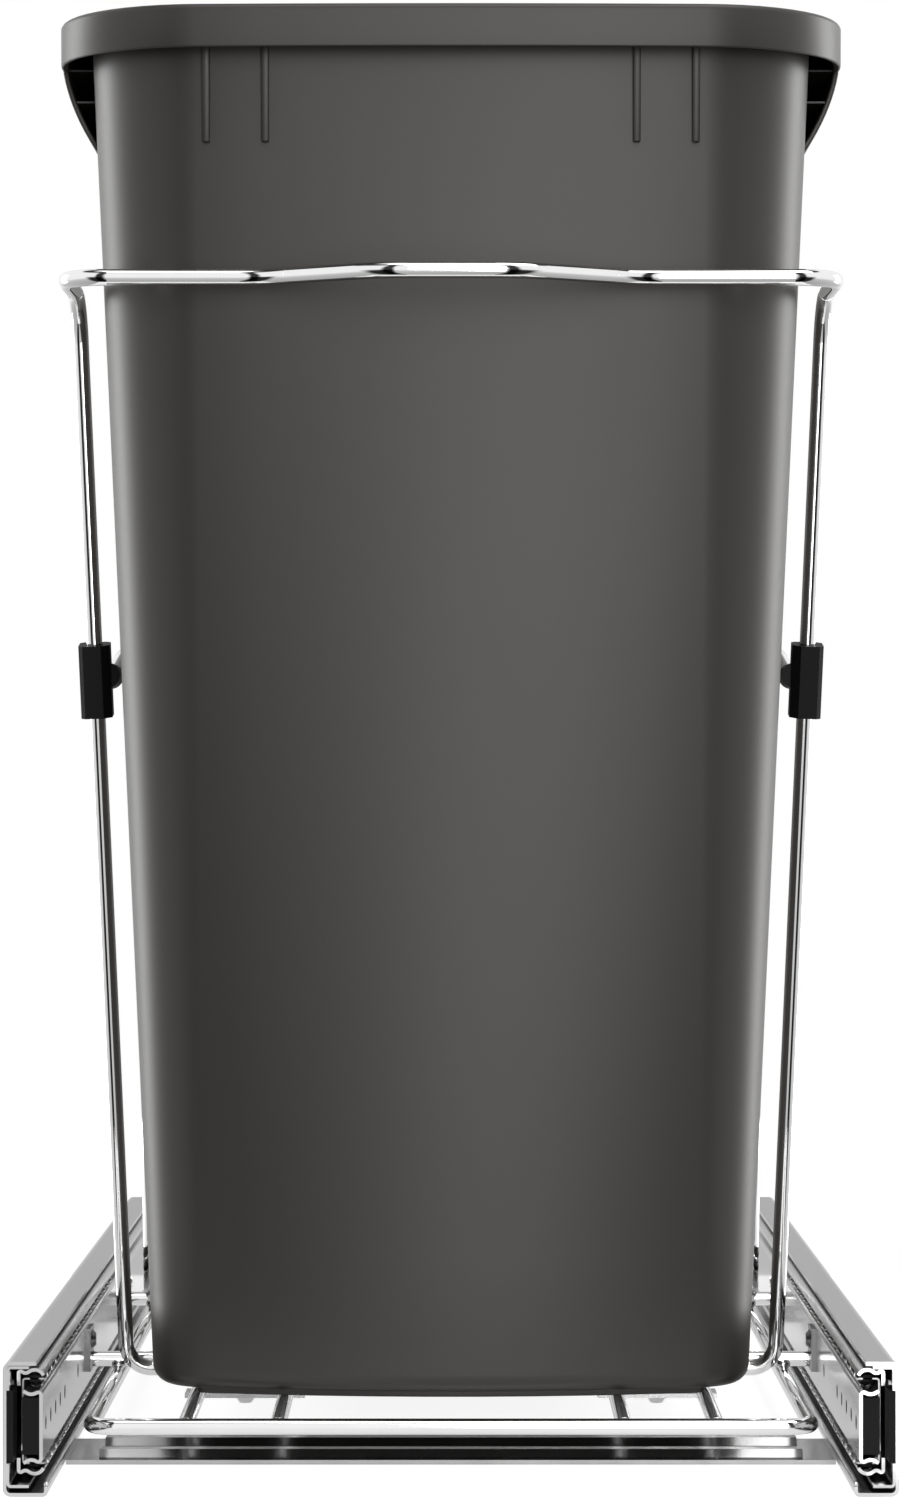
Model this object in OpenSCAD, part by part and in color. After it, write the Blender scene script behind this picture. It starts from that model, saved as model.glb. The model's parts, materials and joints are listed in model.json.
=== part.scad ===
// Pull-out waste bin: a wire cradle on two telescopic ball slides that stand on
// two floor plates, with a lift-out moulded bin. Millimetres, +Z up, the front
// faces -Y, and the origin is on the floor under the middle of the slides.

/* [Bin] */
// Width of the bin across its flat bottom
bin_bottom_w = 197; // [160:1:260]
// Length of the bin along its flat bottom
bin_bottom_len = 318; // [260:1:420]
// Height of the bin from its foot to the top of the rim
bin_h = 448; // [380:1:560]
// Outward slope of each wall, sideways travel per unit of height
bin_draft = 0.0436; // [0.02:0.001:0.06]
// Thickness of the moulded wall
bin_wall = 2.2; // [1.5:0.1:4]
// Plan radius of the corners at the bottom
bin_corner_r = 20; // [18:1:45]
// Radius of the rounded edge round the bottom
bin_edge_r = 8; // [6:1:16]
// Height of the foot that the bin stands on
foot_h = 3; // [2:0.5:6]
// Distance of the foot inside the flat bottom
foot_inset = 14.5; // [8:0.5:15]
// Overhang of the rim beyond the wall
rim_out = 9; // [6:0.5:14]
// Height of the band round the rim
rim_h = 14; // [10:0.5:22]
// Distance of the rim behind the front of the slides
rim_setback = 28; // [20:1:80]
// Width of one stiffening rib under the rim
rib_w = 2.4; // [1.6:0.1:4]
// Height of the stiffening ribs below the rim
rib_h = 29; // [15:1:45]
// How far the ribs stand out from the wall
rib_out = 4; // [2:0.5:6]
// Distance from the middle to the inner ribs
rib_inner_x = 59.5; // [40:0.5:70]
// Distance from the inner to the outer ribs
rib_pitch = 19; // [12:1:30]
// Length of the hand grip under each side of the rim
grip_len = 190; // [120:5:240]
// Height of the hand grip below the rim band
grip_h = 27; // [18:1:40]
// Thickness of the hand grip shell
grip_t = 1.8; // [1.2:0.1:3]

/* [Wire cradle] */
// Diameter of every chromed wire
wire_d = 5.3; // [4:0.1:7]
// Height of the lower layer of wires above the floor
floor_wire_z = 15; // [12:0.5:24]
// Gap from the bin bottom to the handle wire beside it
handle_foot_gap = 13.4; // [10:0.2:24]
// Outward slope of the handle uprights
handle_flare = 0.0323; // [0.01:0.001:0.05]
// Distance of the handle foot behind the front of the bin bottom
handle_foot_inset = 99; // [60:1:130]
// Height of the handle bar above the floor
bar_z = 384; // [300:1:430]
// Clearance from the bin wall to the straight ends of the bar
bar_gap = 7; // [5:0.5:15]
// Distance from the bar back to the tops of the uprights
bar_reach = 62; // [50:1:80]
// Forward bow of the grip in the middle of the bar
bow_out = 22; // [10:1:24]
// Half width of the straight part of the bow
bow_half_w = 22; // [15:1:40]
// Half width of the whole bow
bow_base_half_w = 59; // [45:1:75]
// Bend radius where the handle and hoop rise from the floor
foot_bend_r = 9; // [7:0.5:14]
// Bend radius at the top of the uprights
top_bend_r = 18; // [10:1:24]
// Bend radius at the ends of the bar
bar_bend_r = 14; // [8:1:20]
// Height of the side rails of the rear hoop
side_rail_z = 266; // [210:1:300]
// Distance of the rear hoop in front of the back of the bin bottom
hoop_inset = 37; // [25:1:60]
// Gap from the bin bottom to the rear hoop beside it
hoop_foot_gap = 17; // [12:0.5:26]
// Outward slope of the rear hoop uprights
hoop_flare = 0.0142; // [0:0.0002:0.03]
// Distance of the base loop behind the front of the slides
loop_setback = 49; // [40:1:80]
// Length of the base loop behind the bin bottom
loop_behind = 24; // [15:1:60]
// Bend radius at the corners of the base loop
loop_bend_r = 8; // [6:0.5:16]
// Gap between the base loop and the inner rails
loop_gap = 8.2; // [6:0.2:16]
// Distance from the middle to the inner floor wires
floor_wire_inner_x = 56; // [40:1:70]
// Distance from the middle to the outer floor wires
floor_wire_outer_x = 86; // [76:1:96]
// Distance of the front carrier wire behind the handle foot
carrier_front_gap = 25; // [12:1:50]
// Distance of the rear carrier wire behind the hoop foot
carrier_rear_gap = 28; // [12:1:34]

/* [Clips] */
// Height of the middle of the clips above the floor
clip_z = 257; // [200:1:290]
// Height of the plastic clips along the handle uprights
clip_h = 24.6; // [18:0.2:34]
// Width of the plastic clips
clip_w = 10.4; // [9:0.2:14]
// Depth of the plastic clips in front of the upright axis
clip_front = 5; // [4:0.1:7]
// Depth of the plastic clips behind the upright axis
clip_back = 6; // [4:0.1:8]
// Wall of plastic round the rail end in the boss
clip_wall = 1.6; // [1.2:0.1:3]
// Length of the boss that holds the rail end
boss_len = 18; // [12:0.5:26]
// Distance of the boss from the upright towards the bin
boss_in = 3.8; // [3:0.1:6]
// Clearance round a wire in a clip
clip_clear = 0.08; // [0.03:0.01:0.1]

/* [Slides] */
// Length of the slides
slide_len = 560; // [480:5:700]
// Height of the fixed outer rail
rail_h = 38; // [36:0.5:48]
// Sheet thickness of the outer rail
outer_t = 0.9; // [0.7:0.1:1.2]
// Sheet thickness of the middle and inner rails
rail_t = 1.1; // [0.8:0.1:1.3]
// Distance from the bracket wall to the far face of the inner rail
pack_w = 11.4; // [11:0.1:13]
// Gap from the handle foot axis to the inner rail
rail_gap = 15.5; // [12:0.5:30]
// Radius of the balls between the outer and middle rails
small_ball_r = 1; // [0.8:0.05:1.1]
// Radius of the balls between the middle and inner rails
big_ball_r = 2.4; // [2.1:0.05:2.5]
// Clearance between a ball and its race
ball_clear = 0.1; // [0.05:0.01:0.15]
// Spacing of the small balls along a row
small_ball_pitch = 20; // [12:1:24]
// Number of small balls in a row
small_ball_count = 12; // [5:1:14]
// Spacing of the big balls along a row
big_ball_pitch = 16; // [10:1:18]
// Number of big balls in a row
big_ball_count = 18; // [6:1:20]
// Radius of the holes along the inner rail
rail_hole_r = 2.3; // [1.5:0.1:3]
// Length of the notch in the front of the rail webs
notch_len = 15; // [8:1:25]
// Depth of the rubber stop at the back of each slide
stop_len = 6; // [4:0.5:10]

/* [Floor fixing] */
// Sheet thickness of the side brackets
bracket_t = 1.2; // [1:0.1:2]
// Width of the bracket flanges beyond the bracket wall
flange_w = 9.3; // [8:0.1:11]
// Thickness of the floor plates
plate_t = 1.5; // [1.2:0.1:2.5]
// Depth of the floor plates from front to back
plate_w = 49; // [45:1:80]
// Distance of the front plate behind the front of the slides
plate_front_setback = 67.5; // [30:0.5:100]
// Distance of the rear plate before the back of the slides
plate_rear_setback = 51; // [20:1:80]
// Height of the stiffening beads on the plates
bead_h = 2.4; // [1.5:0.1:4]
// Width of the stiffening beads
bead_w = 11; // [8:0.5:16]
// Width of the screw slots
slot_w = 5; // [4:0.5:7]
// Length of the screw slots from end to end
slot_len = 15; // [10:1:25]
// Distance from a screw slot to the inner rail
slot_inset = 27; // [20:1:50]

/* [Hidden] */
$fn = 48;
weld_gap = 0.05;
// straight runs reach a little into each bend, and a bend is that much thicker
bend_lap = 0.4;
bend_swell = 0.02;
wire_r = wire_d / 2;
front_y = -slide_len / 2;
back_y = slide_len / 2;

// wire levels: floor wires run front to back, and the carriers cross on top of them
cross_wire_z = floor_wire_z + wire_d + weld_gap;
bin_z = cross_wire_z + wire_r + weld_gap;
bin_top_z = bin_z + bin_h;

// bin outline
bin_spread = bin_draft * bin_h;
bin_front_y = front_y + rim_setback + rim_out + bin_spread;
bin_back_y = bin_front_y + bin_bottom_len;
bin_mid_y = (bin_front_y + bin_back_y) / 2;
function wall_front_y(z) = bin_front_y - bin_draft * (z - bin_z);

// handle: closed loop from the floor, up both sides and round the front of the bin
handle_foot_x = bin_bottom_w / 2 + handle_foot_gap;
handle_foot_y = bin_front_y + handle_foot_inset;
handle_top_x = handle_foot_x + handle_flare * (bar_z - cross_wire_z);
bar_y = wall_front_y(bar_z) - bar_gap - wire_r;
handle_top_y = bar_y + bar_reach;
upright_foot = [-handle_foot_x, handle_foot_y, cross_wire_z];
upright_top = [-handle_top_x, handle_top_y, bar_z];

// clip frame: z along the upright, x towards the bin, y to the back
clip_axis_z = unit(upright_top - upright_foot);
clip_axis_x = unit([1, 0, 0] - clip_axis_z.x * clip_axis_z);
clip_axis_y = cross(clip_axis_z, clip_axis_x);
function upright_at(z) = upright_foot
    + (z - cross_wire_z) / (bar_z - cross_wire_z) * (upright_top - upright_foot);
clip_origin = upright_at(clip_z);
boss_rise = 1.8;
boss_front = 0.6;
boss_r = wire_r + clip_clear + clip_wall;
boss_at = upright_at(clip_z + boss_rise) + [boss_in, 0, 0];
socket_start = wire_r + clip_clear + 0.5;
rail_tip_gap = 0.2;

// rear hoop: from both clips back beside the bin, down and under it
hoop_y = bin_back_y - hoop_inset;
hoop_foot_x = bin_bottom_w / 2 + hoop_foot_gap;
hoop_top_x = hoop_foot_x + hoop_flare * (side_rail_z - cross_wire_z);
hoop_bend_r = 20;
rail_step_len = 16;
rail_step_in = 2.8;
rail_step_r = 12;
rail_tip = boss_at + [0, socket_start + rail_tip_gap, 0];
rail_step_clear = 3.5;
rail_step_low = boss_at + [0, boss_len - boss_front + rail_step_clear, 0];
rail_step_top = [rail_step_low.x + rail_step_in, rail_step_low.y + rail_step_len, side_rail_z];

// slides, from the bracket wall inwards (u) and up and down from the middle (h)
rail_x = handle_foot_x + rail_gap;
pack_x = rail_x + pack_w;
overall_w = 2 * (pack_x + bracket_t);
bracket_top_gap = 0.15;
bracket_floor_gap = 1.6;
rail_z = bracket_t + bracket_floor_gap + rail_h / 2;
small_race_r = small_ball_r + ball_clear + rail_t / 2;
big_race_r = big_ball_r + ball_clear + rail_t / 2;
ball_step = 2.9;
inner_web_u = pack_w - rail_t / 2;
middle_web_u = 2.2 + rail_t / 2;
big_ball_u = inner_web_u - big_race_r;
small_ball_u = big_ball_u - ball_step;
small_ball_h = rail_h / 2 - outer_t - ball_clear - small_ball_r;
race_drop = sqrt(pow(small_race_r + big_race_r, 2) - pow(ball_step, 2));
big_ball_h = small_ball_h - race_drop;
small_ball_at = [small_ball_u, small_ball_h];
big_ball_at = [big_ball_u, big_ball_h];
race_tilt = asin(race_drop / (small_race_r + big_race_r));
middle_entry = 40;
middle_curl = 25;
inner_rest = 32;
inner_tip = 1;
outer_tip_u = small_ball_u + 2.1;
small_cage_t = 0.5;
small_cage_u = outer_t + 0.35 + small_cage_t / 2;
small_cage_h = rail_h / 2 - outer_t - 0.25 - small_cage_t / 2;
small_cage_clear = 0.12;
big_cage_t = 0.5;
big_cage_u = middle_web_u + rail_t / 2 + 0.4 + big_cage_t / 2;
big_cage_clear = 0.12;
middle_front_y = front_y + 12;
middle_back_y = back_y - stop_len - 2;
notch_half_h = 0.3 * rail_h;
guide_t = 2;
guide_setback = 1;
bumper_u = big_cage_u + big_cage_t / 2 + 0.6;
bumper_half_h = big_ball_h - big_race_r - rail_t / 2 - 0.8;
lip_u = pack_w + 1;
lip_h = 2.5;
small_cage_len = small_ball_count * small_ball_pitch;
big_cage_len = big_ball_count * big_ball_pitch;
big_cage_front = middle_front_y + 2;
rail_hole_first = 11;
rail_hole_pitch = 18;
rail_holes = [for (i = [0, 1, 2, 3, 4, 7]) rail_hole_first + i * rail_hole_pitch];
bumper_setback = 2;
bumper_len = 14;

// carriers and their tabs on the inner rails
carrier_ys = [handle_foot_y + carrier_front_gap, hoop_y + carrier_rear_gap];
tab_t = 1.5;
tab_w = 16;
tab_below_wire = 1;
tab_above_rivet = 0.9;
rivet_r = 2;
rivet_head_r = 3.6;
rivet_head_h = 1.5;
rivet_tail_r = 2.8;
rivet_tail_h = 1;
rivet_clear = 0.05;
rivet_wire_gap = 0.6;
rivet_z = cross_wire_z + wire_r + rivet_wire_gap + rivet_head_r;
tab_low_z = cross_wire_z - wire_r - tab_below_wire;
tab_h = rivet_z + rivet_head_r + tab_above_rivet - tab_low_z;

// base loop
loop_x = rail_x - loop_gap - wire_r;
loop_front_y = front_y + loop_setback;
loop_back_y = bin_back_y + loop_behind;
floor_wire_xs = [for (s = [-1, 1], x = [floor_wire_inner_x, floor_wire_outer_x]) s * x];

// clamps that hold the handle foot down on the floor wires
clamp_x = (floor_wire_inner_x + floor_wire_outer_x) / 2;
clamp_half_w = (floor_wire_outer_x - floor_wire_inner_x) / 2 + wire_r + 3;
clamp_d = 14;
clamp_t = 1.5;
clamp_z = floor_wire_z - wire_r - weld_gap - clamp_t;
nut_w = 8;
nut_z = clamp_z + clamp_t + 0.4;
screw_r = 2;
screw_head_r = 3.8;
screw_head_h = 2.4;

// floor plates, welded to the lips of the brackets
plate_half_w = pack_x - lip_u - bracket_t / 2 - weld_gap;
plate_ys = [front_y + plate_front_setback + plate_w / 2, back_y - plate_rear_setback - plate_w / 2];
bead_y = plate_w / 4 + 1;
bead_half_len = rail_x - 12;
slot_x = rail_x - slot_inset;

function unit(v) = v / norm(v);
function flip_x(p) = [-p.x, p.y, p.z];
function reversed(list) = [for (i = [len(list) - 1 : -1 : 0]) list[i]];
function arc_points(c, r, a, b, n = 6) = [for (i = [0 : n]) let (t = a + (b - a) * i / n)
    [c.x + r * cos(t), c.y + r * sin(t)]];

// a sheet profile of thickness t along a path of points
function path_normal(p, i) = let (
    d = unit(p[min(i + 1, len(p) - 1)] - p[max(i - 1, 0)])
) [-d.y, d.x];
function sheet_outline(p, t) = concat(
    [for (i = [0 : len(p) - 1]) p[i] + path_normal(p, i) * t / 2],
    [for (i = [len(p) - 1 : -1 : 0]) p[i] - path_normal(p, i) * t / 2]
);

// a channel from the upper half of its path, which starts at the web; the lower half mirrors it
function channel(half) = concat([for (p = reversed(half)) [p.x, -p.y]], half);
function plain_half(tip, web, h, r) = concat(arc_points([web + r, h - r], r, 180, 90), [[tip, h]]);
function tail(list) = [for (i = [1 : len(list) - 1]) list[i]];

outer_path = channel(plain_half(outer_tip_u, outer_t / 2, rail_h / 2 - outer_t / 2, 1));
small_cage_path = channel(plain_half(outer_tip_u - 0.7, small_cage_u, small_cage_h, 0.6));
big_cage_path = channel(plain_half(inner_web_u + 0.1, big_cage_u, big_ball_h, 0.8));
// the middle rail passes under the small balls and then over the big ones
middle_path = let (
    entry = small_ball_at - small_race_r * [sin(middle_entry), cos(middle_entry)],
    r = (entry.x - middle_web_u) / (1 + sin(middle_entry))
) channel(concat(
    arc_points([middle_web_u + r, entry.y - r * cos(middle_entry)], r, 180, 90 - middle_entry),
    tail(arc_points(small_ball_at, small_race_r, 270 - middle_entry, 360 - race_tilt, 8)),
    tail(arc_points(big_ball_at, big_race_r, 180 - race_tilt, middle_curl, 10))
));
// the inner rail passes under the big balls
inner_path = let (
    entry = big_ball_at + big_race_r * [sin(inner_rest), -cos(inner_rest)],
    r = (inner_web_u - entry.x) / (1 + sin(inner_rest)),
    end = big_ball_at - big_race_r * [sin(inner_rest), cos(inner_rest)]
) channel(concat(
    arc_points([inner_web_u - r, entry.y - r * cos(inner_rest)], r, 0, 90 + inner_rest),
    tail(arc_points(big_ball_at, big_race_r, 270 + inner_rest, 270 - inner_rest, 8)),
    [end + inner_tip * [-cos(inner_rest), sin(inner_rest)]]
));
bracket_path = let (
    r = 2,
    lip_r = 1.2,
    top = rail_h / 2 + bracket_top_gap + bracket_t / 2,
    low = -rail_h / 2 - bracket_floor_gap - bracket_t / 2,
    wall = -bracket_t / 2
) concat(
    [[flange_w, top]], arc_points([wall + r, top - r], r, 90, 180),
    arc_points([wall + r, low + r], r, 180, 270),
    arc_points([lip_u - lip_r, low + lip_r], lip_r, 270, 360), [[lip_u, low + lip_h]]
);

// the frame of one slide: x runs from the bracket wall towards the bin
module slide_frame(side) {
    mirror([side < 0 ? 1 : 0, 0, 0])
        translate([pack_x, 0, rail_z])
            mirror([1, 0, 0])
                children();
}

module along_y(y0, y1) {
    translate([0, y1, 0])
        rotate([90, 0, 0])
            linear_extrude(y1 - y0)
                children();
}

// a straight wire between two points
module rod(a, b, r) {
    z = unit(b - a);
    x = unit(cross(abs(z.z) < 0.9 ? [0, 0, 1] : [0, 1, 0], z));
    y = cross(z, x);
    multmatrix([[x.x, y.x, z.x, a.x], [x.y, y.y, z.y, a.y], [x.z, y.z, z.z, a.z], [0, 0, 0, 1]])
        cylinder(r = r, h = norm(b - a));
}

// one bend at corner p between the directions a and b
module bend(p, a, b, bend_r, r) {
    angle = acos(a * b);
    n = unit(b - (a * b) * a);
    c = p - bend_r * tan(angle / 2) * a + bend_r * n;
    z = cross(-n, a);
    multmatrix([[-n.x, a.x, z.x, c.x], [-n.y, a.y, z.y, c.y], [-n.z, a.z, z.z, c.z], [0, 0, 0, 1]])
        rotate_extrude(angle = angle)
            translate([bend_r, 0])
                circle(r = r);
}

// a wire through points, with bend radius radii[i] at points[i]
module bent_wire(points, radii, r) {
    last = len(points) - 1;
    dirs = [for (i = [0 : last - 1]) unit(points[i + 1] - points[i])];
    cuts = [for (i = [0 : last]) i == 0 || i == last ? 0
        : radii[i] * tan(acos(dirs[i - 1] * dirs[i]) / 2)];
    laps = [for (i = [0 : last]) i == 0 || i == last ? 0 : bend_lap];
    for (i = [0 : last - 1])
        rod(points[i] + (cuts[i] - laps[i]) * dirs[i],
            points[i + 1] - (cuts[i + 1] - laps[i + 1]) * dirs[i], r);
    for (i = [1 : last - 1])
        bend(points[i], dirs[i - 1], dirs[i], radii[i], r + bend_swell);
}

module bracket(side) {
    color("silver")
        slide_frame(side)
            along_y(front_y, back_y)
                polygon(sheet_outline(bracket_path, bracket_t));
}

module bead_prism(half_len, w, h, z) {
    rotate([90, 0, 90])
        translate([0, 0, -half_len])
            linear_extrude(2 * half_len)
                polygon([[-w / 2, z], [w / 2, z], [w / 4, z + h], [-w / 4, z + h]]);
}

module floor_plate(plate_y) {
    color("silver")
        difference() {
            union() {
                translate([-plate_half_w, plate_y - plate_w / 2, 0])
                    cube([2 * plate_half_w, plate_w, plate_t]);
                for (s = [-1, 1])
                    translate([0, plate_y + s * bead_y, 0])
                        bead_prism(bead_half_len, bead_w, bead_h, plate_t);
            }
            for (s = [-1, 1])
                translate([0, plate_y + s * bead_y, 0])
                    bead_prism(bead_half_len - plate_t, bead_w, bead_h + 0.1, -0.1);
            for (s = [-1, 1])
                translate([s * slot_x, plate_y, -1])
                    slot_cutter();
        }
}

module slot_cutter() {
    reach = (slot_len - slot_w) / 2;
    for (s = [-1, 1])
        translate([s * reach, 0, 0])
            cylinder(d = slot_w, h = plate_t + 2);
    translate([-reach, -slot_w / 2, 0])
        cube([2 * reach, slot_w, plate_t + 2]);
}

// the front of a rail web is notched between its flanges
module web_notch(start_y) {
    translate([-1, start_y - 1, -notch_half_h])
        cube([middle_web_u + rail_t + 1, notch_len + 1, 2 * notch_half_h]);
}

module outer_rail(side) {
    color("gainsboro")
        slide_frame(side)
            difference() {
                along_y(front_y, back_y)
                    polygon(sheet_outline(outer_path, outer_t));
                web_notch(front_y);
            }
}

module rear_stop(side) {
    color("black")
        slide_frame(side)
            translate([outer_t, back_y - stop_len - 1, -bumper_half_h])
                cube([inner_web_u - rail_t - outer_t, stop_len, 2 * bumper_half_h]);
}

// the guide block fills the notch of the outer rail
module front_guide(side) {
    half_h = notch_half_h - 0.2;
    color("black")
        slide_frame(side)
            translate([0, front_y + guide_setback, -half_h])
                cube([guide_t, notch_len - guide_setback - 0.2, 2 * half_h]);
}

module small_ball_places() {
    for (i = [0 : small_ball_count - 1], s = [-1, 1])
        translate([small_ball_u, (i - (small_ball_count - 1) / 2) * small_ball_pitch, s * small_ball_h])
            children();
}

module big_ball_places() {
    for (i = [0 : big_ball_count - 1], s = [-1, 1])
        translate([big_ball_u, big_cage_front + (i + 0.5) * big_ball_pitch, s * big_ball_h])
            children();
}

module small_cage(side) {
    color("dimgray")
        slide_frame(side)
            difference() {
                along_y(-small_cage_len / 2, small_cage_len / 2)
                    polygon(sheet_outline(small_cage_path, small_cage_t));
                small_ball_places()
                    cylinder(r = small_ball_r + small_cage_clear, h = 4 * small_ball_r, center = true);
            }
}

module small_balls(side) {
    color("white")
        slide_frame(side)
            small_ball_places()
                sphere(r = small_ball_r);
}

module middle_rail(side) {
    color("silver")
        slide_frame(side)
            difference() {
                along_y(middle_front_y, middle_back_y)
                    polygon(sheet_outline(middle_path, rail_t));
                web_notch(middle_front_y);
            }
}

module big_cage(side) {
    color("dimgray")
        slide_frame(side)
            difference() {
                along_y(big_cage_front, big_cage_front + big_cage_len)
                    polygon(sheet_outline(big_cage_path, big_cage_t));
                big_ball_places()
                    cylinder(r = big_ball_r + big_cage_clear, h = 2 * big_ball_r, center = true);
            }
}

module big_balls(side) {
    color("white")
        slide_frame(side)
            big_ball_places()
                sphere(r = big_ball_r);
}

module inner_rail(side) {
    color("silver")
        difference() {
            slide_frame(side)
                along_y(front_y, middle_back_y)
                    polygon(sheet_outline(inner_path, rail_t));
            for (d = rail_holes)
                translate([side * rail_x, front_y + d, rail_z])
                    rotate([0, 90, 0])
                        cylinder(r = rail_hole_r, h = 4 * rail_t, center = true);
            for (y = carrier_ys)
                translate([side * rail_x, y, rivet_z])
                    rotate([0, 90, 0])
                        cylinder(r = rivet_r + rivet_clear, h = 4 * rail_t, center = true);
        }
}

module front_bumper(side) {
    color("black")
        slide_frame(side)
            translate([bumper_u, front_y + bumper_setback, -bumper_half_h])
                cube([inner_web_u - rail_t / 2 - bumper_u, bumper_len, 2 * bumper_half_h]);
}

module carrier_tabs() {
    color("silver")
        for (side = [-1, 1], y = carrier_ys)
            difference() {
                translate([side * (rail_x - tab_t / 2), y, tab_low_z + tab_h / 2])
                    cube([tab_t, tab_w, tab_h], center = true);
                translate([side * rail_x, y, rivet_z])
                    rotate([0, 90, 0])
                        cylinder(r = rivet_r + rivet_clear, h = 4 * tab_t, center = true);
            }
}

module tab_rivets() {
    color("silver")
        for (side = [-1, 1], y = carrier_ys)
            mirror([side < 0 ? 1 : 0, 0, 0])
                translate([rail_x - tab_t, y, rivet_z])
                    rotate([0, 90, 0]) {
                        translate([0, 0, -rivet_head_h])
                            cylinder(r1 = rivet_r, r2 = rivet_head_r, h = rivet_head_h);
                        cylinder(r = rivet_r, h = tab_t + rail_t);
                        translate([0, 0, tab_t + rail_t])
                            cylinder(r = rivet_tail_r, h = rivet_tail_h);
                    }
}

module carrier_wire(y) {
    reach = rail_x - tab_t;
    color("lightgray")
        rod([-reach, y, cross_wire_z], [reach, y, cross_wire_z], wire_r);
}

module base_loop() {
    right = [[0, loop_back_y], [loop_x, loop_back_y], [loop_x, loop_front_y], [0, loop_front_y]];
    left = [for (p = reversed(right)) [-p.x, p.y]];
    points = [for (p = concat(right, [for (i = [1 : 3]) left[i]])) [p.x, p.y, floor_wire_z]];
    radii = [for (p = points) loop_bend_r];
    color("lightgray")
        loop_wire(points, radii);
}

// a closed wire, whose first and last points are the same place on a straight run
module loop_wire(points, radii) {
    open = [for (i = [0 : len(points) - 1]) if (abs(points[i].x) > 1) points[i]];
    ends = [points[0], points[len(points) - 1]];
    bent_wire(concat([ends[0]], open, [ends[1]]), concat([0], [for (p = open) radii[1]], [0]), wire_r);
}

module floor_wires() {
    color("lightgray")
        for (x = floor_wire_xs)
            rod([x, loop_front_y + wire_r + weld_gap, floor_wire_z],
                [x, loop_back_y - wire_r - weld_gap, floor_wire_z], wire_r);
}

module handle() {
    left = [
        [0, handle_foot_y, cross_wire_z], upright_foot, upright_top,
        [-handle_top_x, bar_y, bar_z], [-bow_base_half_w, bar_y, bar_z],
        [-bow_half_w, bar_y - bow_out, bar_z]
    ];
    bends = [0, foot_bend_r, top_bend_r, bar_bend_r, 30, 30];
    color("lightgray")
        bent_wire(concat(left, [for (p = reversed(left)) flip_x(p)]),
            concat(bends, reversed(bends)), wire_r);
}

module rear_hoop() {
    left = [
        rail_tip, rail_step_low, rail_step_top, [-hoop_top_x, hoop_y, side_rail_z],
        [-hoop_foot_x, hoop_y, cross_wire_z]
    ];
    bends = [0, rail_step_r, rail_step_r, hoop_bend_r, foot_bend_r];
    color("lightgray")
        bent_wire(concat(left, [for (p = reversed(left)) flip_x(p)]),
            concat(bends, reversed(bends)), wire_r);
}

module handle_clamps() {
    color("silver")
        for (s = [-1, 1])
            difference() {
                translate([s * clamp_x, handle_foot_y, clamp_z + clamp_t / 2])
                    cube([2 * clamp_half_w, clamp_d, clamp_t], center = true);
                translate([s * clamp_x, handle_foot_y, clamp_z - 1])
                    cylinder(r = screw_r + rivet_clear, h = clamp_t + 2);
            }
}

module clamp_nuts() {
    nut_top_z = cross_wire_z - wire_r - weld_gap;
    color("silver")
        for (s = [-1, 1])
            translate([s * clamp_x, handle_foot_y, nut_z])
                difference() {
                    translate([-nut_w / 2, -nut_w / 2, 0])
                        cube([nut_w, nut_w, nut_top_z - nut_z]);
                    translate([0, 0, -1])
                        cylinder(r = screw_r + rivet_clear, h = nut_top_z - nut_z);
                }
}

module clamp_screws() {
    color("silver")
        for (s = [-1, 1])
            translate([s * clamp_x, handle_foot_y, clamp_z]) {
                translate([0, 0, -screw_head_h])
                    cylinder(r1 = screw_r, r2 = screw_head_r, h = screw_head_h);
                cylinder(r = screw_r, h = clamp_t + 3);
            }
}

// the clip grips the upright, and the end of the side rail sits in the boss behind it
module clip() {
    half = clip_w / 2;
    cut = 1.4;
    m = [clip_axis_x, clip_axis_y, clip_axis_z];
    place = [for (i = [0 : 2]) [m[0][i], m[1][i], m[2][i], clip_origin[i]]];
    difference() {
        union() {
            multmatrix(place)
                translate([0, 0, -clip_h / 2])
                    linear_extrude(clip_h)
                        polygon([
                            [-half + cut, -clip_front], [half - 2 * cut, -clip_front],
                            [half, -clip_front + 2 * cut], [half, clip_back - cut], [half - cut, clip_back],
                            [-half + cut, clip_back], [-half, clip_back - cut], [-half, -clip_front + cut]
                        ]);
            translate(boss_at - [0, boss_front, 0])
                rotate([-90, 0, 0])
                    cylinder(r = boss_r, h = boss_len);
        }
        multmatrix(place)
            translate([0, 0, -clip_h])
                cylinder(r = wire_r + clip_clear, h = 2 * clip_h);
        translate(boss_at + [0, socket_start, 0])
            rotate([-90, 0, 0])
                cylinder(r = wire_r + clip_clear, h = boss_len);
    }
}

module left_clip() {
    color("black")
        clip();
}

module right_clip() {
    color("black")
        mirror([1, 0, 0])
            clip();
}

// a rounded rectangle slab of the bin, grown sideways by g from the flat bottom
module bin_slab(g, z, h = 0.01) {
    r = bin_corner_r + g;
    for (sx = [-1, 1], sy = [-1, 1])
        translate([
            sx * (bin_bottom_w / 2 - bin_corner_r), bin_mid_y + sy * (bin_bottom_len / 2 - bin_corner_r), z
        ])
            cylinder(r = r, h = h, $fn = 64);
}

// the tapered body from its rounded bottom edge up to top_z, drawn in by inset
module bin_body(inset, top_z, edge_r) {
    low_z = bin_z + foot_h + inset;
    hull() {
        for (a = [0 : 15 : 90])
            let (z = low_z + edge_r * (1 - cos(a)))
                bin_slab(bin_draft * (z - bin_z) - inset - edge_r * (1 - sin(a)), z);
        bin_slab(bin_draft * (top_z - bin_z) - inset, top_z);
    }
}

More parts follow.
